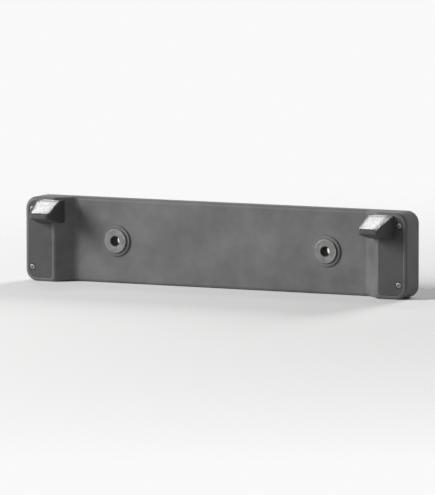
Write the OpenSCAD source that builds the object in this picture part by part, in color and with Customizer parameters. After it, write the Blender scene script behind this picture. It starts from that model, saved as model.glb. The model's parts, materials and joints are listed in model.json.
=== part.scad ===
// License plate light: a wide moulded carrier with a lamp pod at each end.
// Millimetres. +X is right seen from the front, +Z is up, the front faces -Y.
// The back lies on Y = 0, and the origin is midway between the two fixing bores.
// Depth means the distance from the back plane towards the front.

/* [Carrier] */
// Width of the carrier, end to end
carrier_w = 489; // [450:1:540]
// Height of the carrier
carrier_h = 99; // [92:1:110]
// Radius of the four outline corners
corner_r = 14; // [11:1:18]
// Depth of the middle panel
panel_d = 14; // [13:0.5:16]
// Thickness of the carrier's walls
wall = 3; // [2.5:0.25:3.5]
// Radius of the rolled front edges
edge_r = 4; // [2.5:0.5:4.5]

/* [Pods] */
// Width of a pod's front face, from the carrier's end
pod_face_w = 38; // [37:0.5:41]
// Depth of a pod
pod_d = 34; // [32:0.5:37]
// Run of the sloping inner side, along the width
pod_slope_w = 19; // [17:0.5:23]
// Radius where the front face turns into the slope
brow_r = 5; // [4.5:0.25:6]
// Radius of the cove where the slope meets the panel
cove_r = 9; // [6:0.5:12]

/* [Fixings] */
// Distance between the two fixing bores
fixing_spacing = 270; // [240:5:300]
// Through bore of a sleeve, for an M10 bolt
sleeve_bore_d = 11; // [9:0.5:12]
// Outer diameter of a sleeve's tube
sleeve_od = 16; // [14.5:0.5:18]
// Diameter of a sleeve's flange
flange_d = 28; // [24:1:31]
// Thickness of a sleeve's flange
flange_t = 2; // [1.5:0.25:3]
// Radius of the flange's front edge
flange_edge_r = 0.5; // [0.25:0.25:1]
// Chamfer at the front end of a sleeve's bore
bore_chamfer = 0.6; // [0.3:0.1:1]
// Diameter of the round boss under the flange
boss_d = 36; // [33:1:40]
// Height of that boss above the panel
boss_h = 2; // [1.5:0.25:3]
// Radius of the boss's front edge
boss_edge_r = 1; // [0.5:0.25:1.5]
// Wall of the tube behind the panel that holds the sleeve
boss_wall = 3.5; // [2.5:0.5:5]

/* [Ribs behind the panel] */
// Bays between ribs, from one fixing to the other
rib_bays = 6; // [6:1:8]
// Thickness of a rib
rib_t = 2; // [1.5:0.25:3]
// How far the ribs stay below the back plane
rib_drop = 1.5; // [1:0.25:3]
// Width of the cable way through the ribs
cable_way_w = 10; // [7:0.5:12]
// Depth of the cable way
cable_way_d = 7; // [5:0.5:8]
// Height of the cable way's middle, from mid height
cable_way_z = -22; // [-28:1:-16]
// Width of the cable inlet in the bottom edge
inlet_w = 8; // [6:0.5:10]

/* [Lamp covers] */
// Width of the pod's rim round the cover's outer sides
rim_w = 4.5; // [4:0.25:5.5]
// Width of the flat rim between the brow and the cover
brow_rim_w = 1.25; // [1:0.25:2]
// Radius of the cover's two corners beside the brow
cover_r = 3; // [2:0.5:4]
// Thickness of the cover's plate
plate_t = 2.5; // [2:0.25:3]
// Thickness of the rubber ring under the cover
seal_t = 1; // [0.75:0.25:1.5]
// Width of the ledge that carries the ring
ledge_w = 2.5; // [2:0.25:3]
// Thickness of that ledge
ledge_t = 2; // [1.5:0.25:2.5]
// Gap round the cover
fit_gap = 0.25; // [0.15:0.05:0.4]

/* [Lamp noses] */
// How far a nose stands out from the pod's face
nose_l = 32; // [29:0.5:36]
// Width of a nose where it leaves the pod
nose_w = 32; // [31:0.5:34]
// How much narrower a nose is at its tip
nose_taper = 6.5; // [4:0.5:8]
// How far a nose reaches inwards past the pod's brow
nose_over = 9; // [8:0.5:10]
// Height of a nose where it leaves the pod
nose_h = 27; // [26:0.5:29]
// Height of the lip at a nose's tip
nose_lip_h = 4.5; // [3.5:0.5:5]
// Angle of the lens below the horizontal
lens_a = 25; // [22:0.5:27]
// Distance from the carrier's top to the nose's top
nose_top_gap = 3.1; // [2.5:0.1:3.5]
// Thickness of a nose's walls
nose_wall = 2.4; // [2:0.1:2.6]
// Radius of a nose's front corners, seen from above
nose_r = 5; // [3.5:0.5:6]
// Radius of a nose's outer edges
nose_edge_r = 1; // [0.5:0.25:1]
// Land on a nose's slope, above the lens
lens_land = 2; // [1.5:0.25:3]

/* [Lenses] */
// Thickness of a lens at its edge
lens_t = 2.4; // [2:0.1:2.8]
// How far a lens's sides stand out of their frame
lens_proud = 0.6; // [0.3:0.1:1]
// How much higher the middle of a lens is than its sides
lens_crown = 0.8; // [0.4:0.1:1.2]
// Distance from a nose's edge to the rebate that the lens sits in
rebate_w = 1.2; // [1:0.1:1.3]
// Gap round a lens in its rebate
lens_gap = 0.1; // [0.05:0.05:0.2]
// Radius of a lens's two upper corners
lens_r = 1; // [0.5:0.25:2]
// Thickness of the gasket under a lens
lens_seal_t = 0.8; // [0.5:0.1:1.2]
// Distance between the flutes under a lens
flute_pitch = 3.2; // [2.8:0.1:4]
// Radius of a flute
flute_r = 1.1; // [0.8:0.1:1.3]

/* [Bulbs and sockets] */
// Diameter of a bulb's glass
bulb_d = 10; // [9.5:0.1:10.3]
// Length of a bulb's glass, without its wedge base
bulb_l = 20; // [18:0.5:21]
// Width of the wedge base
wedge_w = 9.5; // [9:0.1:9.8]
// Thickness of the wedge base
wedge_t = 2.2; // [2:0.1:2.5]
// Length of the wedge base
wedge_l = 6.5; // [5.5:0.5:7]
// Gap beside the wedge base in its socket
wedge_gap = 0.2; // [0.1:0.05:0.3]
// Distance from the nose's top down to the bulb's axis
bulb_drop = 15; // [14.5:0.25:15.5]
// Depth of the socket's front, where the glass begins
socket_d = 24; // [21:0.5:25]
// Diameter of a socket's stem
stem_d = 16; // [14.5:0.5:17]
// Side of a socket's square foot
foot_w = 22; // [19:0.5:23]
// Thickness of that foot
foot_t = 2.5; // [2:0.25:3]
// Width of a contact strip
strip_w = 5; // [4:0.25:6]
// Thickness of a contact strip
strip_t = 0.8; // [0.6:0.1:1]
// Gap round a contact strip in its slot
strip_gap = 0.15; // [0.1:0.05:0.2]
// Width of a contact's blade
blade_w = 6.3; // [4.8:0.1:6.3]
// Length of a blade outside the stem
blade_l = 8; // [6:0.5:8.5]
// Distance from the socket's foot to the blades
blade_gap = 1; // [0.5:0.25:2]
// Thickness of a reflector
mirror_t = 1; // [0.8:0.1:1.2]

/* [Cover screws] */
// Distance of the screws from the carrier's end
screw_in = 9.5; // [9:0.25:10]
// Height of the upper screw above mid height
screw_high = 35; // [31:0.5:36]
// Distance of the lower screw below mid height
screw_low = 33; // [26:0.5:36]
// Diameter of a screw's thread
screw_d = 3.5; // [3:0.1:4]
// Length of a screw under its head
screw_l = 16; // [12:0.5:20]
// Diameter of a screw's head
head_d = 7; // [6.5:0.1:7.5]
// Height of a screw's head
head_h = 1.9; // [1.6:0.1:2.2]
// Depth of the round recess for a head
head_recess = 1.3; // [0.8:0.1:1.4]
// Gap round a head in its recess
head_gap = 0.4; // [0.2:0.1:0.6]
// Gap round the thread in the cover's hole
thread_gap = 0.25; // [0.2:0.05:0.4]
// Span of the cross recess in a head
cross_l = 3.9; // [3.4:0.1:4.4]
// Width of the cross recess's arms
cross_w = 1; // [0.8:0.1:1.2]
// Depth of the cross recess
cross_d = 1.1; // [0.8:0.1:1.4]
// Diameter of the bosses that the screws bite into
screw_boss_d = 8.5; // [7.5:0.25:9]

/* [Grommets and drains] */
// Hole for a grommet, in the wall between pod and panel
grommet_hole_d = 8; // [7:0.5:8.5]
// Diameter of a grommet's flanges
grommet_d = 11; // [10:0.25:11.5]
// Thickness of each flange
grommet_flange_t = 1.6; // [1.2:0.1:1.8]
// Bore of a grommet
grommet_bore_d = 5; // [4:0.5:6]
// Diameter of the drain in the bottom of a pod
drain_d = 4; // [3:0.5:5]

/* [Hidden] */
$fn = 64;

// How far a cut runs past the face that it opens
cut = 1;
// Play between a screw or sleeve and its hole, on the radius
play = 0.05;
// How far a swept bend reaches into the flat skins on both sides of it
bend_lap = 0.2;
// How far a bend's face lies under theirs, so that no faces merely graze
bend_step = 0.05;
// Gap beside a part that only passes its neighbour
seat_gap = 0.3;
// Least height of the hollow in a nose
least_gap = 0.5;
// Least radius of a corner that is drawn in
least_r = 0.5;
// Segments in a rounded corner that is drawn as a polygon
arc_steps = 6;
// Segments round the ball that rolls along a nose's edges
ball_steps = 24;
// Segments in the large circle of a lens's crown
crown_steps = 360;

half_w = carrier_w / 2;
half_h = carrier_h / 2;

// The pod's section: where its faces would meet if their corners were sharp
brow_x = half_w - pod_face_w;
foot_x = brow_x - pod_slope_w;
slope_a = atan2(pod_d - panel_d, pod_slope_w);
brow_t = brow_r * tan(slope_a / 2);
cove_t = cove_r * tan(slope_a / 2);
slope_l = norm([pod_slope_w, pod_d - panel_d]) - brow_t - cove_t;
face_x = brow_x + brow_t;
panel_x = foot_x - cove_t;
brow_c = [face_x, -(pod_d - brow_r)];
cove_c = [panel_x, -(panel_d + cove_r)];
brow_lap_a = bend_lap / brow_r * 180 / PI;
cove_lap_a = bend_lap / cove_r * 180 / PI;
// Distance of the backing from the skin's face, between its rolled edge and its inner side
backing_t = (edge_r + brow_r) / 2;

// Depth of the slope's inner side at a place along the width
function under_slope(x) = pod_d - (brow_x - x) * tan(slope_a) - wall / cos(slope_a);
// The place along the width where the slope's inner side has a depth
function slope_at(d) = brow_x - (pod_d - wall / cos(slope_a) - d) / tan(slope_a);

// The nose
nose_x0 = brow_x - nose_over;
nose_x1 = nose_x0 + nose_w;
nose_mid = (nose_x0 + nose_x1) / 2;
nose_top = half_h - nose_top_gap;
nose_low = nose_top - nose_h;
tip_d = pod_d + nose_l;
tip_top = nose_top - nose_l * tan(lens_a);
tip_low = tip_top - nose_lip_h;
under_a = atan2(tip_low - nose_low, nose_l);
side_a = atan2(nose_taper, nose_l);

// The pod's chamber, behind the cover
chamber_x0 = nose_x0;
chamber_x1 = half_w - wall;
chamber_d = pod_d - plate_t - seal_t - ledge_t;
partition_x = chamber_x0 - wall;
bulb_z = nose_top - bulb_drop;
seat_d = pod_d - plate_t;
rebate_d = lens_t + lens_seal_t;
screw_x = half_w - screw_in;
screw_zs = [screw_high, -screw_low];
rib_pitch = fixing_spacing / rib_bays;
grommet_at = [partition_x, wall + grommet_d / 2 + seat_gap, cable_way_z];

// Vector helpers
function unit(v) = v / norm(v);
function at(a) = [cos(a), sin(a)];

// Points of an arc about c, from angle a0 to a1
function arc(c, r, a0, a1, steps = arc_steps) =
    [for (i = [0:steps]) c + r * at(a0 + (a1 - a0) * i / steps)];

// Points that round the corner c of the path p, c, q
function corner(p, c, q, r) =
    let (
        u = unit(p - c),
        v = unit(q - c),
        half = acos(u * v) / 2,
        m = c + unit(u + v) * r / sin(half),
        from = atan2((c + u * r / tan(half) - m).y, (c + u * r / tan(half) - m).x),
        to = atan2((c + v * r / tan(half) - m).y, (c + v * r / tan(half) - m).x),
        turn = to - from,
        sweep = turn > 180 ? turn - 360 : turn < -180 ? turn + 360 : turn
    )
    r <= 0 ? [c] : arc(m, r, from, from + sweep);

// A closed outline with its corners rounded, one radius for each corner
function rounded(points, radii) =
    let (n = len(points))
    [for (i = [0:n - 1]) each corner(points[(i + n - 1) % n], points[i], points[(i + 1) % n], radii[i])];

// Directions: a flat shape is drawn, then set out
module along_x(length) {
    // the shape is drawn as depth and height
    rotate([90, 0, 90]) linear_extrude(length) mirror([1, 0]) children();
}

module forward(length, from = 0) {
    // the shape is drawn as width and height
    rotate([90, 0, 0]) translate([0, 0, from]) linear_extrude(length) children();
}

module upright(low, high) {
    // the shape is drawn as width and -depth
    translate([0, 0, low]) linear_extrude(high - low) children();
}

module round_forward(at_x, at_z, from = 0) {
    // a round shape that stands on the back plane and points to the front
    translate([at_x, -from, at_z]) rotate([90, 0, 0]) children();
}

module both_sides() {
    children();
    mirror([1, 0, 0]) children();
}

// Section of a disc whose front edge is rounded
module rounded_disc(radius, thickness, edge) {
    square([radius - edge, thickness]);
    square([radius, thickness - edge]);
    translate([radius - edge, thickness - edge]) circle(edge);
}

// Carrier
// What a rolled edge takes off a square corner whose arc is centred here
module edge_cut(inset = 0) {
    difference() {
        square(edge_r + cut);
        circle(edge_r - inset);
    }
}

// Section of the moulding's skin, drawn in by a distance: t is how far out its face lies
module skin_section(t, inset = 0) {
    difference() {
        translate([0, inset - half_h]) square([t - inset, carrier_h - 2 * inset]);
        for (s = [0, 1]) mirror([0, s]) translate([t - edge_r, half_h - edge_r]) edge_cut(inset);
    }
}

module end_section() {
    difference() {
        square([corner_r, pod_d]);
        translate([corner_r - edge_r, pod_d - edge_r]) edge_cut();
    }
}

module pod_skin() {
    // front face, up to the outline corners
    translate([half_w - corner_r, 0, 0]) mirror([1, 0, 0])
        along_x(half_w - corner_r - face_x) skin_section(pod_d);
    // outer end
    translate([half_w - corner_r, 0, 0]) {
        upright(-(half_h - corner_r), half_h - corner_r) mirror([0, 1]) end_section();
        for (s = [0, 1])
            mirror([0, 0, s]) translate([0, 0, half_h - corner_r])
                rotate([90, 0, 0]) rotate_extrude(angle = 90) end_section();
    }
    // brow, slope and cove
    translate(brow_c) rotate([0, 0, 270 - slope_a]) {
        rotate([0, 0, -brow_lap_a]) rotate_extrude(angle = slope_a + 2 * brow_lap_a)
            skin_section(brow_r, bend_step);
        rotate([90, 0, 0]) linear_extrude(slope_l) skin_section(brow_r);
    }
    translate(cove_c) rotate([0, 0, 90 - slope_a - cove_lap_a])
        rotate_extrude(angle = slope_a + 2 * cove_lap_a)
            translate([cove_r + brow_r, 0]) mirror([1, 0]) skin_section(brow_r, bend_step);
    // what lies behind them, lapping the skins and both neighbours
    upright(-half_h, half_h) polygon(concat(
        [[face_x + cut, 0], [face_x + cut, -(pod_d - backing_t)]],
        [brow_c + (brow_r - backing_t) * at(270 - slope_a)],
        arc(cove_c, cove_r + backing_t, 90 - slope_a, 90),
        [[panel_x - cut, -(panel_d - backing_t)], [panel_x - cut, 0]]
    ));
}

// The pod's outer section, for what sits on it
module pod_profile() {
    polygon(concat(
        [[half_w, 0], [half_w, -pod_d]],
        arc(brow_c, brow_r, 270, 270 - slope_a),
        arc(cove_c, cove_r, 90 - slope_a, 90),
        [[panel_x, 0]]
    ));
}

module outline_inset(inset) {
    // the carrier's right end from the front, drawn in by a distance
    r = corner_r - inset;
    x1 = half_w - inset;
    z1 = half_h - inset;
    polygon(rounded([[0, -z1], [x1, -z1], [x1, z1], [0, z1]], [0, r, r, 0]));
}

module cover_outline(inset) {
    // the pocket for the cover, drawn in by a distance
    x0 = face_x + brow_rim_w + inset;
    x1 = half_w - rim_w - inset;
    z1 = half_h - rim_w - inset;
    r1 = max(corner_r - rim_w - inset, least_r);
    r0 = max(cover_r - inset, least_r);
    polygon(rounded([[x0, -z1], [x1, -z1], [x1, z1], [x0, z1]], [r0, r1, r1, r0]));
}

module ledge_opening() {
    // the opening inside the cover's ledge, which widens to a pad round each screw boss
    difference() {
        cover_outline(ledge_w);
        for (z = screw_zs) translate([screw_x, z]) circle(d = screw_boss_d + 2 * ledge_w);
    }
}

module panel_cavity() {
    upright(-(half_h - wall), half_h - wall) polygon([
        [-cut, cut], [partition_x, cut], [partition_x, -under_slope(partition_x)],
        [slope_at(panel_d - wall), -(panel_d - wall)], [-cut, -(panel_d - wall)],
    ]);
}

module chamber() {
    intersection() {
        upright(-half_h, half_h) polygon([
            [chamber_x0, -wall], [chamber_x1, -wall], [chamber_x1, -chamber_d],
            [slope_at(chamber_d), -chamber_d], [chamber_x0, -under_slope(chamber_x0)],
        ]);
        forward(pod_d) outline_inset(wall);
    }
}

module nose_notch() {
    // opening in brow and slope where the nose joins the chamber
    x0 = nose_x0 + nose_wall;
    x1 = nose_x1 - nose_wall;
    z0 = nose_low + nose_wall;
    z1 = nose_top - nose_wall;
    translate([x0, -pod_d - cut, z0]) cube([x1 - x0, pod_d - wall - foot_t, z1 - z0]);
}

module ribs() {
    top_z = half_h - wall / 2;
    deep = panel_d - wall / 2 - rib_drop;
    intersection() {
        translate([-half_w, -panel_d + wall / 2, -top_z]) cube([carrier_w, deep, 2 * top_z]);
        union() {
            for (i = [-rib_bays : rib_bays])
                if (abs(i) * rib_pitch < partition_x - 2 * rib_t)
                    translate([i * rib_pitch - rib_t / 2, -panel_d, -half_h])
                        cube([rib_t, panel_d, carrier_h]);
            translate([-partition_x - wall / 2, -panel_d, -rib_t / 2])
                cube([2 * partition_x + wall, panel_d, rib_t]);
        }
    }
}

module fixing_boss() {
    round_forward(0, 0) {
        cylinder(h = panel_d, d = sleeve_od + 2 * boss_wall);
        translate([0, 0, panel_d - wall / 2]) rotate_extrude() {
            rounded_disc(boss_d / 2, boss_h + wall / 2, boss_edge_r);
        }
    }
}

module carrier() {
    color("dimgray") difference() {
        union() {
            difference() {
                union() {
                    translate([-panel_x, 0, 0]) along_x(2 * panel_x) skin_section(panel_d);
                    both_sides() pod_skin();
                }
                both_sides() panel_cavity();
            }
            ribs();
            for (s = [-1, 1]) translate([s * fixing_spacing / 2, 0, 0]) fixing_boss();
        }
        // sleeve bores
        for (s = [-1, 1])
            round_forward(s * fixing_spacing / 2, 0, -cut)
                cylinder(h = panel_d + boss_h + 2 * cut, d = sleeve_od + 2 * play);
        // cable way and inlet
        translate([-partition_x, -cable_way_d, cable_way_z - cable_way_w / 2])
            cube([2 * partition_x, cable_way_d + cut, cable_way_w]);
        translate([rib_pitch / 2 - inlet_w / 2, -inlet_w / 2, -half_h - cut])
            cube([inlet_w, inlet_w / 2 + cut, wall + 2 * cut]);
        translate([rib_pitch / 2, -inlet_w / 2, -half_h - cut])
            cylinder(h = wall + 2 * cut, d = inlet_w);
        both_sides() {
            difference() {
                union() {
                    chamber();
                    // pocket for the cover, and the opening inside its ledge
                    forward(plate_t + seal_t + cut, pod_d - plate_t - seal_t) cover_outline(0);
                    forward(pod_d - chamber_d + 2 * cut, chamber_d - cut) ledge_opening();
                    nose_notch();
                    // grommet hole
                    translate([partition_x - cut, -grommet_at.y, grommet_at.z]) rotate([0, 90, 0])
                        cylinder(h = wall + 2 * cut, d = grommet_hole_d);
                    // drain
                    translate([nose_mid, -chamber_d / 2, -half_h - cut])
                        cylinder(h = wall + 2 * cut, d = drain_d);
                }
                // bosses for the cover screws, left standing in the chamber, each tied to its end wall
                for (z = screw_zs) {
                    round_forward(screw_x, z) cylinder(h = seat_d, d = screw_boss_d);
                    translate([screw_x, -chamber_d - ledge_t / 2, z - rib_t / 2])
                        cube([chamber_x1 + cut - screw_x, chamber_d, rib_t]);
                }
            }
            // pilot holes in them
            for (z = screw_zs) round_forward(screw_x, z, seat_d - screw_l)
                cylinder(h = screw_l + cut, d = screw_d + 2 * play);
        }
    }
}

// Fixing sleeve
module fixing_sleeve() {
    face = panel_d + boss_h;
    color("silver") translate([fixing_spacing / 2, 0, 0]) round_forward(0, 0) rotate_extrude() {
        difference() {
            union() {
                square([sleeve_od / 2, face]);
                translate([0, face]) rounded_disc(flange_d / 2, flange_t, flange_edge_r);
            }
            translate([0, -cut]) square([sleeve_bore_d / 2, face + flange_t + 2 * cut]);
            translate([sleeve_bore_d / 2, face + flange_t]) rotate(45)
                square(bore_chamfer * sqrt(2), center = true);
        }
    }
}

// Depth at which the nose's shape ends, drawn in by t: before its top and bottom meet
function nose_front(t) = min(
    tip_d - t,
    pod_d + (nose_h - t / cos(lens_a) - t / cos(under_a) - least_gap) / (tan(lens_a) + tan(under_a))
);

// Nose shape, drawn in by t on all its faces but the open back
function nose_side(t, back) =
    let (
        top_bend = pod_d - t * (1 / cos(lens_a) - 1) / tan(lens_a),
        low_bend = pod_d - t * (1 / cos(under_a) - 1) / tan(under_a),
        front = nose_front(t)
    )
    [
        [back, nose_top - t],
        [top_bend, nose_top - t],
        [front, nose_top - (front - pod_d) * tan(lens_a) - t / cos(lens_a)],
        [front, nose_low + (front - pod_d) * tan(under_a) + t / cos(under_a)],
        [low_bend, nose_low + t],
        [back, nose_low + t],
    ];

function nose_plan(t, back) =
    let (
        bend = pod_d - t * (1 / cos(side_a) - 1) / tan(side_a),
        front = nose_front(t),
        x0 = nose_x0 + t,
        x1 = nose_x1 - t / cos(side_a) - (front - pod_d) * tan(side_a),
        r = max(nose_r - t, least_r)
    )
    rounded(
        [[x0, -back], [x0, -front], [x1, -front], [nose_x1 - t, -bend], [nose_x1 - t, -back]],
        [0, r, r, 0, 0]
    );

module nose_shape(t, back) {
    intersection() {
        along_x(half_w) polygon(nose_side(t, back));
        upright(-half_h, half_h) polygon(nose_plan(t, back));
    }
}

// The nose's outer form: its faces in their place, and every edge between them rolled
module nose_body(back) {
    // a ball whose outermost points lie on the radius, however few its segments
    minkowski() {
        nose_shape(nose_edge_r, back);
        sphere(nose_edge_r / cos(180 / ball_steps), $fn = ball_steps);
    }
}

// The lens plane: width across, -y down the slope, z out of it
module on_lens_plane() {
    translate([0, -pod_d, nose_top]) rotate([lens_a, 0, 0]) children();
}

// Outline of the lens, drawn in by a distance from the nose's own edges
module lens_outline(inset) {
    slope_len = nose_l / cos(lens_a);
    top = lens_land + inset - rebate_w;
    low = slope_len - inset;
    fall = nose_taper / slope_len;
    x0 = nose_x0 + inset;
    x1 = nose_x1 - inset;
    r = nose_r - inset;
    polygon(rounded(
        [[x0, -top], [x0, -low], [x1 - low * fall, -low], [x1 - top * fall, -top]],
        [lens_r, r, r, lens_r]
    ));
}

// Lamp cover with its nose
module lamp_cover() {
    color("dimgray") difference() {
        union() {
            forward(plate_t, seat_d) cover_outline(fit_gap);
            difference() {
                nose_body(panel_d);
                upright(-half_h, half_h) pod_profile();
            }
        }
        nose_shape(nose_wall, panel_d - cut);
        // rebate and window for the lens
        on_lens_plane() {
            translate([0, 0, -rebate_d]) linear_extrude(rebate_d + cut) lens_outline(rebate_w);
            translate([0, 0, -rebate_d - cut]) linear_extrude(rebate_d) lens_outline(2 * rebate_w);
        }
        for (z = screw_zs) round_forward(screw_x, z, seat_d - cut) {
            cylinder(h = plate_t + 2 * cut, d = screw_d + 2 * thread_gap);
            translate([0, 0, plate_t - head_recess + cut])
                cylinder(h = head_recess + cut, d = head_d + 2 * head_gap);
        }
    }
}

// Rubber ring under the cover, with an eyelet round each screw boss
module cover_seal() {
    color("black") forward(seal_t, seat_d - seal_t) difference() {
        cover_outline(fit_gap);
        ledge_opening();
        translate([0, nose_low + nose_wall]) square([nose_x1 - nose_wall, nose_h - 2 * nose_wall]);
        for (z = screw_zs) translate([screw_x, z]) circle(d = screw_boss_d + 2 * seat_gap);
    }
}

// Lens, fluted on its inner side as far as the reflector's floor allows
module lens() {
    flute_end = (nose_front(nose_wall + mirror_t + flute_r) - pod_d) / cos(lens_a);
    side = nose_w / 2 - rebate_w - lens_gap;
    crown_r = (pow(side, 2) + pow(lens_crown, 2)) / (2 * lens_crown);
    color("white") on_lens_plane() {
        intersection() {
            translate([0, 0, -lens_t]) linear_extrude(lens_t + lens_proud + lens_crown)
                lens_outline(rebate_w + lens_gap);
            // the crown, along the middle of the tapering lens
            translate([nose_mid, 0, lens_proud + lens_crown - crown_r])
                rotate([90, 0, -atan(nose_taper * cos(lens_a) / nose_l / 2)])
                    translate([0, 0, -nose_l]) cylinder(h = 3 * nose_l, r = crown_r, $fn = crown_steps);
        }
        intersection() {
            for (x = [nose_x0 + nose_wall + flute_pitch : flute_pitch : nose_x1 - nose_wall])
                translate([x, 0, -lens_t]) rotate([90, 0, 0]) cylinder(h = flute_end, r = flute_r);
            translate([0, 0, -lens_t - flute_r]) linear_extrude(2 * flute_r)
                lens_outline(nose_wall + mirror_t + seat_gap);
        }
    }
}

module lens_gasket() {
    color("black") on_lens_plane() translate([0, 0, -rebate_d])
        linear_extrude(lens_seal_t) difference() {
            lens_outline(rebate_w);
            lens_outline(2 * rebate_w);
        }
}

// Reflector: a tray in the nose, open to the lens and to the chamber
module reflector() {
    color("gainsboro") difference() {
        nose_shape(nose_wall, seat_d);
        // the hollow, raised once more so that it opens the tray's top
        for (rise = [0, mirror_t]) translate([0, 0, rise]) nose_shape(nose_wall + mirror_t, seat_d - cut);
        // all that lies above the gasket's underside
        on_lens_plane() translate([0, -2 * nose_l, -rebate_d]) cube([half_w, 3 * nose_l, nose_l]);
    }
}

// Bulb with a wedge base, lying along the depth
module bulb() {
    color("white") round_forward(nose_mid, bulb_z, socket_d) {
        intersection() {
            union() {
                cylinder(h = bulb_l - bulb_d / 2, d = bulb_d);
                translate([0, 0, bulb_l - bulb_d / 2]) sphere(d = bulb_d);
            }
            cylinder(h = bulb_l, d = bulb_d);
        }
        translate([-wedge_w / 2, -wedge_t / 2, -wedge_l]) cube([wedge_w, wedge_t, wedge_l]);
    }
}

// Contact strip: one flat stamping, from beside the wedge to a blade outside the stem
module strip_outline(gap) {
    tail = wall + foot_t + blade_gap;
    x1 = stem_d / 2 + blade_l;
    half = strip_w / 2 + gap;
    translate([nose_mid, 0]) {
        translate([-half, -socket_d]) square([2 * half, socket_d - tail]);
        translate([-half, -tail - blade_w - gap]) square([x1 + half, blade_w + 2 * gap]);
    }
}

module contact(side) {
    low = bulb_z + (side > 0 ? wedge_t / 2 : -wedge_t / 2 - strip_t);
    color("gold") upright(low, low + strip_t) strip_outline(0);
}

module bulb_socket() {
    color("darkslategray") difference() {
        union() {
            round_forward(nose_mid, bulb_z, wall) cylinder(h = socket_d - wall, d = stem_d);
            translate([nose_mid - foot_w / 2, -wall - foot_t, bulb_z - foot_w / 2])
                cube([foot_w, foot_t, foot_w]);
        }
        translate([nose_mid - wedge_w / 2 - wedge_gap, -socket_d - cut, bulb_z - wedge_t / 2])
            cube([wedge_w + 2 * wedge_gap, wedge_l + cut, wedge_t]);
        for (s = [0, 1]) translate([0, 0, bulb_z]) mirror([0, 0, s])
            upright(wedge_t / 2, wedge_t / 2 + strip_t + strip_gap) strip_outline(strip_gap);
    }
}

module cover_screws() {
    color("silver") for (z = screw_zs)
        round_forward(screw_x, z, pod_d - head_recess) difference() {
            union() {
                cylinder(h = head_h, d = head_d);
                translate([0, 0, -screw_l]) cylinder(h = screw_l + head_h / 2, d = screw_d);
            }
            for (a = [0, 90]) rotate([0, 0, a])
                translate([-cross_l / 2, -cross_w / 2, head_h - cross_d])
                    cube([cross_l, cross_w, cross_d + cut]);
        }
}

module cable_grommet() {
    color("black") translate([partition_x - grommet_flange_t, -grommet_at.y, grommet_at.z])
        rotate([0, 90, 0]) difference() {
            union() {
                cylinder(h = grommet_flange_t, d = grommet_d);
                cylinder(h = wall + 2 * grommet_flange_t, d = grommet_hole_d - 2 * play);
                translate([0, 0, wall + grommet_flange_t]) cylinder(h = grommet_flange_t, d = grommet_d);
            }
            translate([0, 0, -cut]) cylinder(h = wall + 2 * grommet_flange_t + 2 * cut, d = grommet_bore_d);
        }
}

module left() {
    mirror([1, 0, 0]) children();
}

carrier();
left() fixing_sleeve();  // left_fixing_sleeve
fixing_sleeve();  // right_fixing_sleeve
left() lamp_cover();  // left_lamp_cover
lamp_cover();  // right_lamp_cover
left() cover_seal();  // left_cover_seal
cover_seal();  // right_cover_seal
left() lens();  // left_lens
lens();  // right_lens
left() lens_gasket();  // left_lens_gasket
lens_gasket();  // right_lens_gasket
left() reflector();  // left_reflector
reflector();  // right_reflector
left() bulb();  // left_bulb
bulb();  // right_bulb
left() bulb_socket();  // left_bulb_socket
bulb_socket();  // right_bulb_socket
left() contact(1);  // left_live_contact
contact(1);  // right_live_contact
left() contact(-1);  // left_earth_contact
contact(-1);  // right_earth_contact
left() cover_screws();  // left_cover_screws
cover_screws();  // right_cover_screws
left() cable_grommet();  // left_cable_grommet
cable_grommet();  // right_cable_grommet
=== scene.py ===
import json
import math

import bpy
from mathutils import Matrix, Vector


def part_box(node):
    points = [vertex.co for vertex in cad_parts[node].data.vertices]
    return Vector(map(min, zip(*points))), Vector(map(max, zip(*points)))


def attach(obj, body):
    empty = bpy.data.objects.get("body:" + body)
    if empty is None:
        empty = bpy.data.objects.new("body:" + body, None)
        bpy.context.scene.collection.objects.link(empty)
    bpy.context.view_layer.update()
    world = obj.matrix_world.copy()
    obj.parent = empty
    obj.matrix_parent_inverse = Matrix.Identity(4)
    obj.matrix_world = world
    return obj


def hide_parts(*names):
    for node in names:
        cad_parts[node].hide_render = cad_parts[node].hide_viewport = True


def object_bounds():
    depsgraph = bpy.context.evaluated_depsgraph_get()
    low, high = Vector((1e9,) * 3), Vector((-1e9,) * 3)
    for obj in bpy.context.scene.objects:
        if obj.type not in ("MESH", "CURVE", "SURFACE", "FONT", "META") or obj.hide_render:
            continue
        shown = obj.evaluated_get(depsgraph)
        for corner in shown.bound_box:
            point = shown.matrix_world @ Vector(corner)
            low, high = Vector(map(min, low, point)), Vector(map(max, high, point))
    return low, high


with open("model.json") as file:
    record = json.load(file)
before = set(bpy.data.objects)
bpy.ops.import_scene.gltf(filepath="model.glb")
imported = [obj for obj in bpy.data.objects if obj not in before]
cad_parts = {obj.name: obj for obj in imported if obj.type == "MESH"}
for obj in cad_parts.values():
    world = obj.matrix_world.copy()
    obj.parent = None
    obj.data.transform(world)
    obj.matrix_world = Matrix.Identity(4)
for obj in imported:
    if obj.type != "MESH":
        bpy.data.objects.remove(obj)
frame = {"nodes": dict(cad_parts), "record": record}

# Looks of the license plate light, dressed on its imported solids.
# Metres. +X is right seen from the front, +Z is up, the front faces -Y.

MM = 0.001
CAD_BOX = [list(corner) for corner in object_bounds()]
NODES = frame["nodes"]
LOWEST = Vector(CAD_BOX[0])
MIDDLE = (LOWEST + Vector(CAD_BOX[1])) / 2
SIDES = ("left", "right")
MOUNTS = {mount["name"]: mount for mount in frame["record"]["mounts"]}
BORE_RADIUS = MOUNTS["fixing_bolts"]["dims"]["hole_r_mm"] * MM


# Camera
VIEW_AZIMUTH = math.radians(26.25)
VIEW_ELEVATION = math.radians(5.75)
VIEW_DISTANCE = 7.2
LENS_MM = 455


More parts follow.
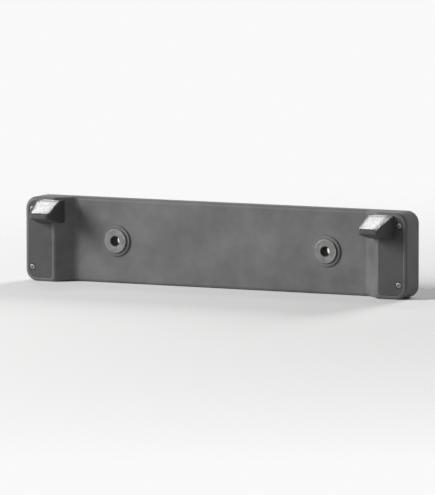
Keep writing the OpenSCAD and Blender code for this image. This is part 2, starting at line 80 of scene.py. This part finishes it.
def aim(thing, place, target):
    """Puts a camera or a lamp at a place and turns it to a target."""
    thing.location = place
    thing.rotation_mode = "QUATERNION"
    thing.rotation_quaternion = (target - place).to_track_quat("-Z", "Y")


def seen_middle(away, across):
    """The point to aim at, so that the part's two ends lie as far from the picture's middle."""
    eye = MIDDLE + away * VIEW_DISTANCE
    corners = [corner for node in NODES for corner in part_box(node)]
    spans = [(corner - eye).dot(across) / (eye - corner).dot(away) for corner in corners]
    return MIDDLE + across * (min(spans) + max(spans)) / 2 * VIEW_DISTANCE


def make_camera():
    """A far camera with a long lens, to the part's right and a little above it."""
    camera = bpy.data.objects.new("camera", bpy.data.cameras.new("camera"))
    bpy.context.scene.collection.objects.link(camera)
    camera.data.lens = LENS_MM
    away = Vector((
        math.sin(VIEW_AZIMUTH) * math.cos(VIEW_ELEVATION),
        -math.cos(VIEW_AZIMUTH) * math.cos(VIEW_ELEVATION),
        math.sin(VIEW_ELEVATION),
    ))
    across = Vector((math.cos(VIEW_AZIMUTH), math.sin(VIEW_AZIMUTH), 0))
    target = seen_middle(away, across)
    aim(camera, target + away * VIEW_DISTANCE, target)
    bpy.context.scene.camera = camera


# Studio
FLOOR_SIDE = 6
FLOOR_DROP = 0.05 * MM
FLOOR_COLOUR = (0.92, 0.92, 0.915, 1)
FLOOR_ROUGHNESS = 0.9
# distances from the floor's middle at which it begins to melt into the sky, and is gone
FLOOR_FADES = (0.45, 1.5)
# strength of the sky where it is seen, and where it only lights the part
SKY_SEEN = 0.95
SKY_LIGHT = 0.13
WHITE = (1, 1, 1, 1)
# direction from the part, distance and width in metres, power in watts
LAMPS = {
    "key_lamp": {"direction": (-0.70, -0.60, 0.38), "distance": 4.6, "width": 2.2, "power": 278},
    # lights the ribbed back, and isn't mirrored, so that the part's top doesn't gleam
    "back_lamp": {
        "direction": (0.08, 0.93, 0.36), "distance": 4.6, "width": 1.6, "power": 130, "mirrored": False,
    },
    # high behind the part, where the sloping lenses mirror it to the camera
    "sky_lamp": {"direction": (-0.44, 0.50, 0.75), "distance": 3.0, "width": 1.0, "power": 7.5},
}


def floor_material():
    """Pale floor that takes the part's shadow. It melts into the sky further out,
    and isn't seen from below."""
    material, w, shader, place = new_material("pale_floor")
    shader.inputs["Base Color"].default_value = FLOOR_COLOUR
    shader.inputs["Roughness"].default_value = FLOOR_ROUGHNESS
    shader.inputs["Specular IOR Level"].default_value = 0.0
    far_off = w.spread(w.vector("LENGTH", place)["Value"], *FLOOR_FADES)
    from_below = w.add("NewGeometry").outputs["Backfacing"]
    fade = w.add("MixShader")
    w.put(fade.inputs[0], w.math("MAXIMUM", far_off, from_below))
    w.put(fade.inputs[1], shader.outputs[0])
    w.put(fade.inputs[2], w.add("BsdfTransparent").outputs[0])
    w.put(w.nodes["Material Output"].inputs["Surface"], fade.outputs[0])
    return material


def make_floor():
    """A level floor just under the part."""
    bpy.ops.object.select_all(action="DESELECT")
    bpy.ops.mesh.primitive_plane_add(size=FLOOR_SIDE, location=(0, 0, LOWEST.z - FLOOR_DROP))
    floor = bpy.context.object
    floor.name = "studio_floor"
    floor.data.materials.append(floor_material())


def make_sky():
    """A plain sky: pale where it is seen, mirrored or seen through glass, lower where it lights."""
    world = bpy.data.worlds.new("studio_sky")
    world.use_nodes = True
    bpy.context.scene.world = world
    w = Wiring(world.node_tree)
    rays = w.add("LightPath").outputs
    seen = rays["Is Camera Ray"]
    for kind in ("Is Glossy Ray", "Is Transmission Ray"):
        seen = w.math("MAXIMUM", seen, rays[kind])
    background = w.nodes["Background"]
    background.inputs["Color"].default_value = WHITE
    w.put(background.inputs["Strength"], w.spread(seen, to_low=SKY_LIGHT, to_high=SKY_SEEN))


def make_lamp(name, direction, distance, width, power, mirrored=True):
    """A round soft lamp, aimed at the part's middle."""
    lamp = bpy.data.objects.new(name, bpy.data.lights.new(name, "AREA"))
    bpy.context.scene.collection.objects.link(lamp)
    lamp.data.shape = "DISK"
    lamp.data.size = width
    lamp.data.energy = power
    lamp.visible_glossy = mirrored
    aim(lamp, MIDDLE + Vector(direction).normalized() * distance, MIDDLE)


def make_studio():
    """Floor, sky and lamps."""
    make_floor()
    make_sky()
    for name, settings in LAMPS.items():
        make_lamp(name, **settings)


# Wiring of shaders
class Wiring:
    """Adds nodes to a tree. A value is a socket to link, or a number or colour to set."""

    def __init__(self, tree):
        self.nodes, self.links = tree.nodes, tree.links

    def put(self, socket, value):
        """Links or sets one input."""
        if isinstance(value, bpy.types.NodeSocket):
            self.links.new(value, socket)
        else:
            socket.default_value = value

    def fill(self, node, inputs):
        """Links or sets inputs by name, with their spaces written as underscores."""
        for label, value in inputs.items():
            self.put(node.inputs[label.replace("_", " ")], value)

    def add(self, kind, **inputs):
        """A node with its inputs filled."""
        node = self.nodes.new("ShaderNode" + kind)
        self.fill(node, inputs)
        return node

    def group(self, tree, **inputs):
        """A shader group, placed with its own values. Gives its outputs."""
        node = self.nodes.new("ShaderNodeGroup")
        node.node_tree = tree
        self.fill(node, inputs)
        return node.outputs

    def work_out(self, kind, operation, values):
        """A node that works on its inputs, which are given in their order."""
        node = self.nodes.new(kind)
        node.operation = operation
        for socket, value in zip(node.inputs, values):
            self.put(socket, value)
        return node.outputs

    def math(self, operation, *values):
        """Arithmetic on numbers."""
        return self.work_out("ShaderNodeMath", operation, values)[0]

    def vector(self, operation, *values):
        """Arithmetic on vectors. Gives the outputs Vector and Value."""
        return self.work_out("ShaderNodeVectorMath", operation, values)

    def noise(self, place, scale, detail, roughness):
        """Cloudy noise about a level of a half."""
        node = self.add("TexNoise", Vector=place, Scale=scale, Detail=detail, Roughness=roughness)
        return node.outputs["Fac"]

    def spread(self, value, low=0.0, high=1.0, to_low=0.0, to_high=1.0):
        """Stretches a range to another one, and stops at its ends."""
        node = self.add(
            "MapRange", Value=value, From_Min=low, From_Max=high, To_Min=to_low, To_Max=to_high)
        return node.outputs[0]

    def blend(self, factor, first, second):
        """Mixes two colours."""
        node = self.nodes.new("ShaderNodeMix")
        node.data_type = "RGBA"
        self.put(node.inputs[0], factor)
        self.put(node.inputs[6], first)
        self.put(node.inputs[7], second)
        return node.outputs[2]


def new_group(name, inputs, outputs):
    """An empty shader group with named sockets. Each input is (name, kind, value)."""
    group = bpy.data.node_groups.new(name, "ShaderNodeTree")
    for label, kind, value in inputs:
        socket = group.interface.new_socket(label, in_out="INPUT", socket_type="NodeSocket" + kind)
        socket.default_value = value
    for label in outputs:
        group.interface.new_socket(label, in_out="OUTPUT", socket_type="NodeSocketFloat")
    given = group.nodes.new("NodeGroupInput").outputs
    wanted = group.nodes.new("NodeGroupOutput").inputs
    return group, Wiring(group), given, wanted


# Shader groups
ORIGIN = (0, 0, 0)
# scales of the patterns, per metre
GRAIN_SCALE = 1800.0
CLOUD_SCALE = 24.0
RING_SCALE = 2600.0
DUST_SCALE = 60.0
# the slow swells of the grain: their scale against that of its pits, and their share of its height
SWELL_SCALE = 0.12
SWELL_SHARE = 0.3
# the part of the noise that each mask stretches over its whole range
CLOUD_RANGE = (0.3, 0.7)
SPECK_RANGE = (0.35, 0.65)
PATCH_RANGE = (0.35, 0.75)
# how far up a surface faces where dust begins to thicken, and where it is thickest
DUSTY_SLOPES = (0.2, 0.95)
# shares of the dust that stay on walls, and between its patches
DUST_ON_WALLS = 0.25
DUST_BETWEEN_PATCHES = 0.2


def grain_group():
    """Moulded grain: fine pits over slow swells, with masks of clouds and specks."""
    group, w, given, wanted = new_group(
        "moulded_grain",
        [("Place", "Vector", ORIGIN), ("Grain Scale", "Float", GRAIN_SCALE),
         ("Cloud Scale", "Float", CLOUD_SCALE)],
        ["Height", "Clouds", "Specks"],
    )
    place, grain = given["Place"], given["Grain Scale"]
    pits = w.noise(place, grain, detail=2.0, roughness=0.6)
    swell = w.noise(place, w.math("MULTIPLY", grain, SWELL_SCALE), detail=2.0, roughness=0.5)
    clouds = w.noise(place, given["Cloud Scale"], detail=4.0, roughness=0.6)
    pit_height = w.math("MULTIPLY", pits, 1 - SWELL_SHARE)
    swell_height = w.math("MULTIPLY", swell, SWELL_SHARE)
    w.put(wanted["Height"], w.math("ADD", pit_height, swell_height))
    w.put(wanted["Clouds"], w.spread(clouds, *CLOUD_RANGE))
    w.put(wanted["Specks"], w.spread(pits, *SPECK_RANGE))
    return group


def dust_group():
    """Road dust: it lies on what faces up, and thins out in patches."""
    group, w, given, wanted = new_group(
        "road_dust",
        [("Place", "Vector", ORIGIN), ("Facing", "Vector", (0, 0, 1)), ("Amount", "Float", 0.2)],
        ["Mask"],
    )
    rise = w.add("SeparateXYZ", Vector=given["Facing"]).outputs["Z"]
    lying = w.spread(rise, *DUSTY_SLOPES, to_low=DUST_ON_WALLS)
    noise = w.noise(given["Place"], DUST_SCALE, detail=5.0, roughness=0.65)
    patches = w.spread(noise, *PATCH_RANGE, to_low=DUST_BETWEEN_PATCHES)
    w.put(wanted["Mask"], w.math("MULTIPLY", w.math("MULTIPLY", lying, patches), given["Amount"]))
    return group


def turning_group():
    """Marks that a lathe leaves: fine rings about an axis along the depth, alike left and right."""
    group, w, given, wanted = new_group(
        "turning_marks",
        [("Place", "Vector", ORIGIN), ("Centre", "Vector", ORIGIN), ("Ring Scale", "Float", RING_SCALE)],
        ["Height", "Streaks", "Radius"],
    )
    mirrored = w.vector("ABSOLUTE", given["Place"])["Vector"]
    offset = w.vector("SUBTRACT", mirrored, given["Centre"])["Vector"]
    split = w.add("SeparateXYZ", Vector=offset).outputs
    squares = [w.math("POWER", split[axis], 2.0) for axis in ("X", "Z")]
    radius = w.math("SQRT", w.math("ADD", *squares))
    rings = w.add("CombineXYZ", X=radius, Y=split["Y"]).outputs[0]
    marks = w.noise(rings, given["Ring Scale"], detail=3.0, roughness=0.6)
    w.put(wanted["Height"], marks)
    w.put(wanted["Streaks"], w.spread(marks, *CLOUD_RANGE))
    w.put(wanted["Radius"], radius)
    return group


GRAIN = grain_group()
DUST = dust_group()
TURNING = turning_group()


# Materials
EDGE_SAMPLES = 6
PLASTIC_SPECULAR = 0.26
DUST_TONE = (0.33, 0.32, 0.30, 1)
ZINC = (0.225, 0.225, 0.22)
ZINC_ROUGHNESS = (0.28, 0.46)
# the dull tone as a share of the bright one, and how much of it the clouds mix in at most
ZINC_DULLED = 0.42
ZINC_CLOUDED = 0.7
# near-black painted shade, and its roughness, for the inside of a sleeve's bore and its rim, where the
# hole lies in shadow
BORE_SHADE = (0.018, 0.017, 0.016, 1)
BORE_SHADE_ROUGHNESS = 0.8
# distances from a sleeve's axis at which the painted shade of its bore begins to thin out, and is gone
BORE_SHADE_ENDS = (BORE_RADIUS + 0.2 * MM, BORE_RADIUS + 1.3 * MM)


def new_material(name):
    """A material, its wiring, its main shader and Object coordinates."""
    material = bpy.data.materials.new(name)
    material.use_nodes = True
    w = Wiring(material.node_tree)
    place = w.add("TexCoord").outputs["Object"]
    return material, w, w.nodes["Principled BSDF"], place


def soften_edges(w, radius):
    """Normals that turn round a sharp edge, as a moulded or broken edge does."""
    bevel = w.add("Bevel", Radius=radius)
    bevel.samples = EDGE_SAMPLES
    return bevel.outputs["Normal"]


def raise_bumps(w, shader, height, depth, strength, normal=None):
    """Bumps of a depth, over the plain surface or over softened edges."""
    bump = w.add("Bump", Height=height, Distance=depth, Strength=strength)
    if normal is not None:
        w.put(bump.inputs["Normal"], normal)
    w.put(shader.inputs["Normal"], bump.outputs["Normal"])


def moulded_plastic(name, tones, roughness, edge, dust):
    """Moulded plastic: grain, clouds of tone, dust on what faces up, and softened edges."""
    material, w, shader, place = new_material(name)
    surface = w.group(GRAIN, Place=place)
    facing = w.add("NewGeometry").outputs["Normal"]
    dusty = w.group(DUST, Place=place, Facing=facing, Amount=dust)
    dark, light = tones
    tone = w.blend(surface["Clouds"], (*dark, 1), (*light, 1))
    w.put(shader.inputs["Base Color"], w.blend(dusty["Mask"], tone, DUST_TONE))
    low, high = roughness
    w.put(shader.inputs["Roughness"], w.spread(surface["Clouds"], to_low=low, to_high=high))
    shader.inputs["Specular IOR Level"].default_value = PLASTIC_SPECULAR
    softened = soften_edges(w, edge)
    raise_bumps(w, shader, surface["Height"], depth=0.05 * MM, strength=0.35, normal=softened)
    return material


def sleeve_centre():
    """Axis of the right fixing sleeve: the marks are mirrored for the left one."""
    low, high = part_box("right_fixing_sleeve")
    return ((low.x + high.x) / 2, 0, 0)


def zinc_plate():
    """Plated steel from the lathe: rings about the axis, dull clouds, and painted shade, near black,
    inside the bore and on its rim.
    """
    material, w, shader, place = new_material("zinc_plate")
    marks = w.group(TURNING, Place=place, Centre=sleeve_centre())
    surface = w.group(GRAIN, Place=place, Cloud_Scale=140.0)
    dulled = [ZINC_DULLED * level for level in ZINC]
    clouds = w.math("MULTIPLY", surface["Clouds"], ZINC_CLOUDED)
    metal = w.blend(clouds, (*ZINC, 1), (*dulled, 1))
    # painted shade: near black, dull and not metallic in the bore, fading out to the plated metal just
    # past its rim
    past_bore_shade = w.spread(marks["Radius"], *BORE_SHADE_ENDS)
    w.put(shader.inputs["Base Color"], w.blend(past_bore_shade, BORE_SHADE, metal))
    low, high = ZINC_ROUGHNESS
    turned = w.spread(marks["Streaks"], to_low=low, to_high=high)
    w.put(shader.inputs["Roughness"], w.spread(past_bore_shade, to_low=BORE_SHADE_ROUGHNESS, to_high=turned))
    w.put(shader.inputs["Metallic"], past_bore_shade)
    softened = soften_edges(w, 0.3 * MM)
    raise_bumps(w, shader, marks["Height"], depth=0.02 * MM, strength=0.25, normal=softened)
    return material


def cloudy_finish(name, tones, roughness, rough_by="Clouds", grain=GRAIN_SCALE, clouds=CLOUD_SCALE,
                  bump_depth=0.0, bump_strength=0.0, **constants):
    """A finish that drifts between two tones in clouds, over fine grain. Its roughness follows
    the clouds or the specks. The constants are set on the shader's own sockets."""
    material, w, shader, place = new_material(name)
    surface = w.group(GRAIN, Place=place, Grain_Scale=grain, Cloud_Scale=clouds)
    first, second = tones
    w.put(shader.inputs["Base Color"], w.blend(surface["Clouds"], (*first, 1), (*second, 1)))
    low, high = roughness
    w.put(shader.inputs["Roughness"], w.spread(surface[rough_by], to_low=low, to_high=high))
    w.fill(shader, constants)
    if bump_depth:
        raise_bumps(w, shader, surface["Height"], bump_depth, bump_strength)
    return material


def rubber():
    """Black rubber, greyed in patches, with specks of more and less gloss."""
    return cloudy_finish(
        "black_rubber", tones=((0.016, 0.016, 0.016), (0.030, 0.029, 0.028)), roughness=(0.55, 0.75),
        rough_by="Specks", grain=1300.0, bump_depth=0.04 * MM, bump_strength=0.3)


def screw_finish():
    """Dull stainless steel, with clouds and fine specks."""
    return cloudy_finish(
        "screw_steel", tones=((0.24, 0.24, 0.245), (0.13, 0.13, 0.13)), roughness=(0.32, 0.5),
        rough_by="Specks", grain=2600.0, clouds=320.0, bump_depth=0.015 * MM, bump_strength=0.3,
        Metallic=1.0)


def tungsten():
    """Grey wire, darker in places."""
    return cloudy_finish(
        "lamp_wire", tones=((0.42, 0.41, 0.40), (0.22, 0.21, 0.21)), roughness=(0.3, 0.45),
        clouds=700.0, Metallic=1.0)


def brass():
    """Stamped brass, dulled in clouds."""
    return cloudy_finish(
        "stamped_brass", tones=((0.70, 0.48, 0.19), (0.52, 0.34, 0.14)), roughness=(0.25, 0.45),
        grain=2400.0, clouds=260.0, bump_depth=0.01 * MM, bump_strength=0.2, Metallic=1.0)


def silvering():
    """Satin silvering on a pale moulding: it scatters the light as much as it mirrors it."""
    return cloudy_finish(
        "silvered_plastic", tones=((0.88, 0.88, 0.89), (0.80, 0.80, 0.82)), roughness=(0.30, 0.45),
        grain=500.0, clouds=90.0, bump_depth=0.03 * MM, bump_strength=0.3, Metallic=0.35)


def clear_plastic():
    """Clear moulded plastic, slightly waved, with a faint haze in places."""
    return cloudy_finish(
        "clear_plastic", tones=((0.985, 0.99, 0.99), (0.95, 0.96, 0.965)), roughness=(0.04, 0.12),
        grain=700.0, clouds=70.0, bump_depth=0.02 * MM, bump_strength=0.15,
        Transmission_Weight=1.0, IOR=1.49)


def bulb_glass():
    """Thin blown glass, almost without haze."""
    return cloudy_finish(
        "bulb_glass", tones=((0.99, 0.99, 0.98), (0.96, 0.96, 0.95)), roughness=(0.0, 0.04),
        grain=300.0, clouds=120.0, bump_depth=0.03 * MM, bump_strength=0.12,
        Transmission_Weight=1.0, IOR=1.45)


def dress(node, material):
    """Gives a CAD node its finish."""
    slots = NODES[node].data.materials
    slots.clear()
    slots.append(material)


def dress_part():
    """Finishes for every node that keeps its CAD shape."""
    # The carrier's wide clouds of tone are partly random moulding tone and partly painted reflection:
    # their lighter patches stand in for soft glows of light on the panel.
    carrier_grey = moulded_plastic(
        "carrier_grey", tones=((0.087, 0.087, 0.090), (0.139, 0.139, 0.141)), roughness=(0.50, 0.62),
        edge=0.2 * MM, dust=0.09)
    cover_grey = moulded_plastic(
        "cover_grey", tones=((0.042, 0.042, 0.044), (0.060, 0.060, 0.062)), roughness=(0.46, 0.58),
        edge=0.6 * MM, dust=0.09)
    socket_black = moulded_plastic(
        "socket_black", tones=((0.030, 0.030, 0.031), (0.042, 0.042, 0.043)), roughness=(0.40, 0.50),
        edge=0.3 * MM, dust=0.02)
    black_rubber = rubber()
    stamped_brass = brass()
    finishes = {
        "fixing_sleeve": zinc_plate(),
        "lamp_cover": cover_grey,
        "cover_seal": black_rubber,
        "lens": clear_plastic(),
        "lens_gasket": black_rubber,
        "reflector": silvering(),
        "bulb_socket": socket_black,
        "live_contact": stamped_brass,
        "earth_contact": stamped_brass,
        "cable_grommet": black_rubber,
    }
    dress("carrier", carrier_grey)
    for side in SIDES:
        for part, material in finishes.items():
            dress(f"{side}_{part}", material)


# Modelling
SAME_POINT = 0.001 * MM
# how far up or down a normal has to point, to count as up or down
MOSTLY = 0.9
# turns a piece that stands on Z so that its top points to the front
TO_FRONT = (math.pi / 2, 0, 0)


def only(thing):
    """Selects one object alone, and makes it the active one."""
    bpy.ops.object.select_all(action="DESELECT")
    thing.select_set(True)
    bpy.context.view_layer.objects.active = thing


def new_piece(name):
    """Names the piece that was just made."""
    thing = bpy.context.object
    thing.name = name
    thing.data.name = name
    only(thing)
    return thing


def every_face(normal):
    """Passes every face."""
    return True


def faces_up(normal):
    """Passes the faces that look up."""
    return normal.z > MOSTLY


def faces_down(normal):
    """Passes the faces that look down."""
    return normal.z < -MOSTLY


def pick_faces(thing, wanted):
    """Selects the faces whose normals pass a test, and enters edit mode."""
    for edge in thing.data.edges:
        edge.select = False
    for vertex in thing.data.vertices:
        vertex.select = False
    for face in thing.data.polygons:
        face.select = wanted(face.normal)
    only(thing)
    bpy.ops.object.mode_set(mode="EDIT")
    bpy.ops.mesh.select_mode(type="FACE")


def pick_all(thing):
    """Selects the whole of a piece, and enters edit mode."""
    only(thing)
    bpy.ops.object.mode_set(mode="EDIT")
    bpy.ops.mesh.select_all(action="SELECT")


def extrude(rise, aside=0.0, widen=1.0):
    """Draws the selected faces out along Z and aside along X, and scales the new end."""
    bpy.ops.mesh.extrude_region_move(TRANSFORM_OT_translate={"value": (aside, 0, rise)})
    if widen != 1.0:
        bpy.ops.transform.resize(value=(widen, widen, 1))


def finish_edit(merge=SAME_POINT):
    """Merges points that lie together, faces the shape outwards and leaves edit mode."""
    bpy.ops.mesh.select_all(action="SELECT")
    bpy.ops.mesh.remove_doubles(threshold=merge)
    bpy.ops.mesh.normals_make_consistent(inside=False)
    bpy.ops.object.mode_set(mode="OBJECT")


def modify(thing, kind, **settings):
    """Adds a modifier and applies it."""
    only(thing)
    modifier = thing.modifiers.new(kind.lower(), kind)
    for label, value in settings.items():
        setattr(modifier, label, value)
    bpy.ops.object.modifier_apply(modifier=modifier.name)


def settle(thing, turn=None, shift=None):
    """Turns and moves a piece, and puts its place in its mesh."""
    only(thing)
    if turn is not None:
        thing.rotation_euler = turn
    if shift is not None:
        thing.location = shift
    bpy.ops.object.transform_apply(location=True, rotation=True, scale=True)


def copy_of(thing, name):
    """A copy with a mesh of its own."""
    other = thing.copy()
    other.data = thing.data.copy()
    other.name = other.data.name = name
    bpy.context.scene.collection.objects.link(other)
    return other


def join(things, name):
    """Makes one piece of several."""
    bpy.ops.object.select_all(action="DESELECT")
    for thing in things:
        thing.select_set(True)
    bpy.context.view_layer.objects.active = things[0]
    bpy.ops.object.join()
    return new_piece(name)


def drop(thing):
    """Removes a piece that was only a pattern or a tool."""
    bpy.data.objects.remove(thing, do_unlink=True)


def combine(thing, operation, tool):
    """Cuts a tool's shape out of a piece, or welds it on, and drops the tool."""
    modify(thing, "BOOLEAN", operation=operation, object=tool, solver="EXACT")
    drop(tool)


def coil(name, radius, wire, sides, pitch, turns, steps):
    """A wire wound about Z, closed at both ends."""
    bpy.ops.mesh.primitive_circle_add(
        vertices=sides, radius=wire, location=(radius, 0, 0), rotation=(math.pi / 2, 0, 0))
    thing = new_piece(name)
    settle(thing)
    modify(thing, "SCREW", axis="Z", angle=2 * math.pi, screw_offset=pitch, iterations=turns,
           steps=steps, render_steps=steps, use_merge_vertices=False)
    pick_all(thing)
    bpy.ops.mesh.fill_holes(sides=sides)
    finish_edit()
    return thing


# Cover screws, standing on Z with the head's underside at zero
HEAD_RADIUS = 3.5 * MM
HEAD_HEIGHT = 1.9 * MM
HEAD_SIDES = 64
HEAD_DOME = 1.15 * MM
DOME_STEPS = 8
SHANK_LENGTH = 16 * MM
CORE_RADIUS = 1.3 * MM
# the shank's pointed end: its length, and the width of its tip as a share of the core
POINT_LENGTH = 1.6 * MM
POINT_TIP = 0.3
# the thread is a wound triangle: the radius that its middle is wound at, and the triangle's own
THREAD_RADIUS = 1.4 * MM
TOOTH_RADIUS = 0.35 * MM
THREAD_PITCH = 1.25 * MM
THREAD_TURNS = 10
THREAD_STEPS = 28
# how far under the head the thread begins
THREAD_START = 0.4 * MM
CROSS_SPAN = 3.9 * MM
CROSS_WIDTH = 0.95 * MM
CROSS_DEPTH = 1.25 * MM
# the foot of the recess, as shares of its span and of its width
CROSS_FOOT = (0.35, 0.8)
CROSS_TURNS = {"upper": math.radians(24), "lower": math.radians(61)}
# slivers shorter than this are closed where the thread meets the core
SLIVER = 0.004 * MM
SMOOTH_UNDER = math.radians(32)


def cross_cutter(turn):
    """One blade of the cross recess, narrower at its foot."""
    bpy.ops.mesh.primitive_cube_add(size=1, location=(0, 0, HEAD_HEIGHT))
    cutter = new_piece("cross_cutter")
    cutter.scale = (CROSS_SPAN, CROSS_WIDTH, 2 * CROSS_DEPTH)
    settle(cutter)
    pick_faces(cutter, faces_down)
    bpy.ops.transform.resize(value=(*CROSS_FOOT, 1))
    finish_edit()
    settle(cutter, turn=(0, 0, turn))
    return cutter


def screw_thread():
    """A triangle wound down the shank, its inner edge sunk in the core."""
    thread = coil("thread", radius=THREAD_RADIUS, wire=TOOTH_RADIUS, sides=3,
                  pitch=-THREAD_PITCH, turns=THREAD_TURNS, steps=THREAD_STEPS)
    settle(thread, shift=(0, 0, -TOOTH_RADIUS - THREAD_START))
    return thread


def pan_head_screw():
    """A domed head with a cross recess, on a threaded shank with a point."""
    bpy.ops.mesh.primitive_cylinder_add(
        vertices=HEAD_SIDES, radius=HEAD_RADIUS, depth=HEAD_HEIGHT, location=(0, 0, HEAD_HEIGHT / 2))
    screw = new_piece("cover_screw")
    settle(screw)
    pick_faces(screw, faces_up)
    bpy.ops.mesh.bevel(offset=HEAD_DOME, segments=DOME_STEPS, profile=0.5, affect="EDGES")
    bpy.ops.object.mode_set(mode="OBJECT")
    pick_faces(screw, faces_down)
    bpy.ops.mesh.inset(thickness=HEAD_RADIUS - CORE_RADIUS)
    extrude(-(SHANK_LENGTH - POINT_LENGTH))
    extrude(-POINT_LENGTH, widen=POINT_TIP)
    finish_edit()
    for turn in (0, math.pi / 2):
        combine(screw, "DIFFERENCE", cross_cutter(turn))
    combine(screw, "UNION", screw_thread())
    pick_all(screw)
    bpy.ops.mesh.dissolve_degenerate(threshold=SLIVER)
    finish_edit(merge=SLIVER)
    return screw


def make_cover_screws(material):
    """Two screws a side, in place of the plain ones."""
    pattern = pan_head_screw()
    pattern.data.materials.append(material)
    for side in SIDES:
        low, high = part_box(f"{side}_cover_screws")
        middle = (low.x + high.x) / 2
        heights = {"upper": high.z - HEAD_RADIUS, "lower": low.z + HEAD_RADIUS}
        pair = []
        for place, height in heights.items():
            screw = copy_of(pattern, f"{side}_{place}_screw")
            settle(screw, turn=(0, 0, CROSS_TURNS[place]))
            settle(screw, turn=TO_FRONT, shift=(middle, low.y + HEAD_HEIGHT, height))
            pair.append(screw)
        screws = join(pair, f"{side}_pan_head_screws")
        bpy.ops.object.shade_smooth_by_angle(angle=SMOOTH_UNDER)
        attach(screws, "root")
        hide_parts(f"{side}_cover_screws")
    drop(pattern)


# Bulbs, standing on Z with the wedge's foot at zero
GLASS_RADIUS = 5 * MM
GLASS_WALL = 0.45 * MM
GLASS_SIDES = 40
GLASS_ROUNDING = 0.35 * MM
ROUNDED_OVER = math.radians(60)
# half width and half thickness of the wedge, as shares of the radius
WEDGE_SHARES = (0.95, 0.22)
# each ring: how far up it lies, and its half width and half thickness as shares of the radius
GLASS_RINGS = (
    (4.6 * MM, 0.95, 0.22),
    (6.2 * MM, 0.90, 0.40),
    (7.6 * MM, 0.94, 0.74),
    (9.2 * MM, 1.00, 0.97),
    (11.0 * MM, 1.00, 1.00),
    (21.5 * MM, 1.00, 1.00),
    (23.4 * MM, 0.93, 0.93),
    (25.0 * MM, 0.72, 0.72),
    (26.0 * MM, 0.43, 0.43),
    (26.45 * MM, 0.14, 0.14),
)
FILAMENT_RISE = 17.5 * MM
FILAMENT_RADIUS = 0.38 * MM
FILAMENT_WIRE = 0.09 * MM
FILAMENT_SIDES = 6
FILAMENT_PITCH = 0.42 * MM
FILAMENT_TURNS = 11
FILAMENT_STEPS = 12
SUPPORT_RADIUS = 0.22 * MM
SUPPORT_SIDES = 10
# a support wire's points, from the pinch to just past the filament: how far out, and how far up
SUPPORT_POINTS = (
    (1.5 * MM, 1.2 * MM),
    (1.5 * MM, 8.0 * MM),
    (2.0 * MM, 11.0 * MM),
    (2.3 * MM, FILAMENT_RISE),
    (2.3 * MM, FILAMENT_RISE + 0.35 * MM),
)


def glass_shell():
    """A thin blown bulb with a flat pinched wedge."""
    bpy.ops.mesh.primitive_circle_add(vertices=GLASS_SIDES, radius=GLASS_RADIUS, fill_type="NGON")
    glass = new_piece("bulb_glass")
    glass.scale = (*WEDGE_SHARES, 1)
    settle(glass)
    pick_faces(glass, every_face)
    bpy.ops.mesh.select_mode(type="EDGE")
    rise, wide, deep = 0.0, *WEDGE_SHARES
    for ring_rise, ring_wide, ring_deep in GLASS_RINGS:
        bpy.ops.mesh.extrude_edges_move(TRANSFORM_OT_translate={"value": (0, 0, ring_rise - rise)})
        bpy.ops.transform.resize(value=(ring_wide / wide, ring_deep / deep, 1))
        rise, wide, deep = ring_rise, ring_wide, ring_deep
    bpy.ops.mesh.edge_face_add()
    finish_edit()
    modify(glass, "BEVEL", width=GLASS_ROUNDING, segments=2, angle_limit=ROUNDED_OVER)
    modify(glass, "SOLIDIFY", thickness=GLASS_WALL, offset=-1)
    modify(glass, "SUBSURF", levels=1, render_levels=1)
    bpy.ops.object.shade_smooth()
    return glass


def support_wire(side):
    """A wire out of the pinch, which splays to its end of the filament. Side is -1 or 1."""
    (out, up), *bends = SUPPORT_POINTS
    bpy.ops.mesh.primitive_circle_add(
        vertices=SUPPORT_SIDES, radius=SUPPORT_RADIUS, fill_type="NGON", location=(side * out, 0, up))
    wire = new_piece("support_wire")
    settle(wire)
    pick_faces(wire, every_face)
    for next_out, next_up in bends:
        extrude(next_up - up, aside=side * (next_out - out))
        out, up = next_out, next_up
    finish_edit()
    return wire


def lamp_wires():
    """Two support wires out of the pinch, and the wound filament between them."""
    supports = [support_wire(side) for side in (-1, 1)]
    filament = coil("filament", radius=FILAMENT_RADIUS, wire=FILAMENT_WIRE, sides=FILAMENT_SIDES,
                    pitch=FILAMENT_PITCH, turns=FILAMENT_TURNS, steps=FILAMENT_STEPS)
    settle(filament, shift=(0, 0, -FILAMENT_PITCH * FILAMENT_TURNS / 2))
    settle(filament, turn=(0, math.pi / 2, 0), shift=(0, 0, FILAMENT_RISE))
    return join([*supports, filament], "lamp_wires")


def make_bulbs(glass_material, wire_material):
    """A glass bulb a side with its wires inside, in place of the solid one."""
    glass, wires = glass_shell(), lamp_wires()
    glass.data.materials.append(glass_material)
    wires.data.materials.append(wire_material)
    for side in SIDES:
        low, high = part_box(f"{side}_bulb")
        foot = ((low.x + high.x) / 2, high.y, (low.z + high.z) / 2)
        shell = copy_of(glass, f"{side}_bulb_glass")
        inside = copy_of(wires, f"{side}_bulb_filament")
        for thing in (shell, inside):
            settle(thing, turn=TO_FRONT, shift=foot)
            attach(thing, "root")
        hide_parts(f"{side}_bulb")
    drop(glass)
    drop(wires)


make_camera()
make_studio()
dress_part()
make_cover_screws(screw_finish())
make_bulbs(bulb_glass(), tungsten())

bpy.context.scene.view_settings.view_transform = "Standard"
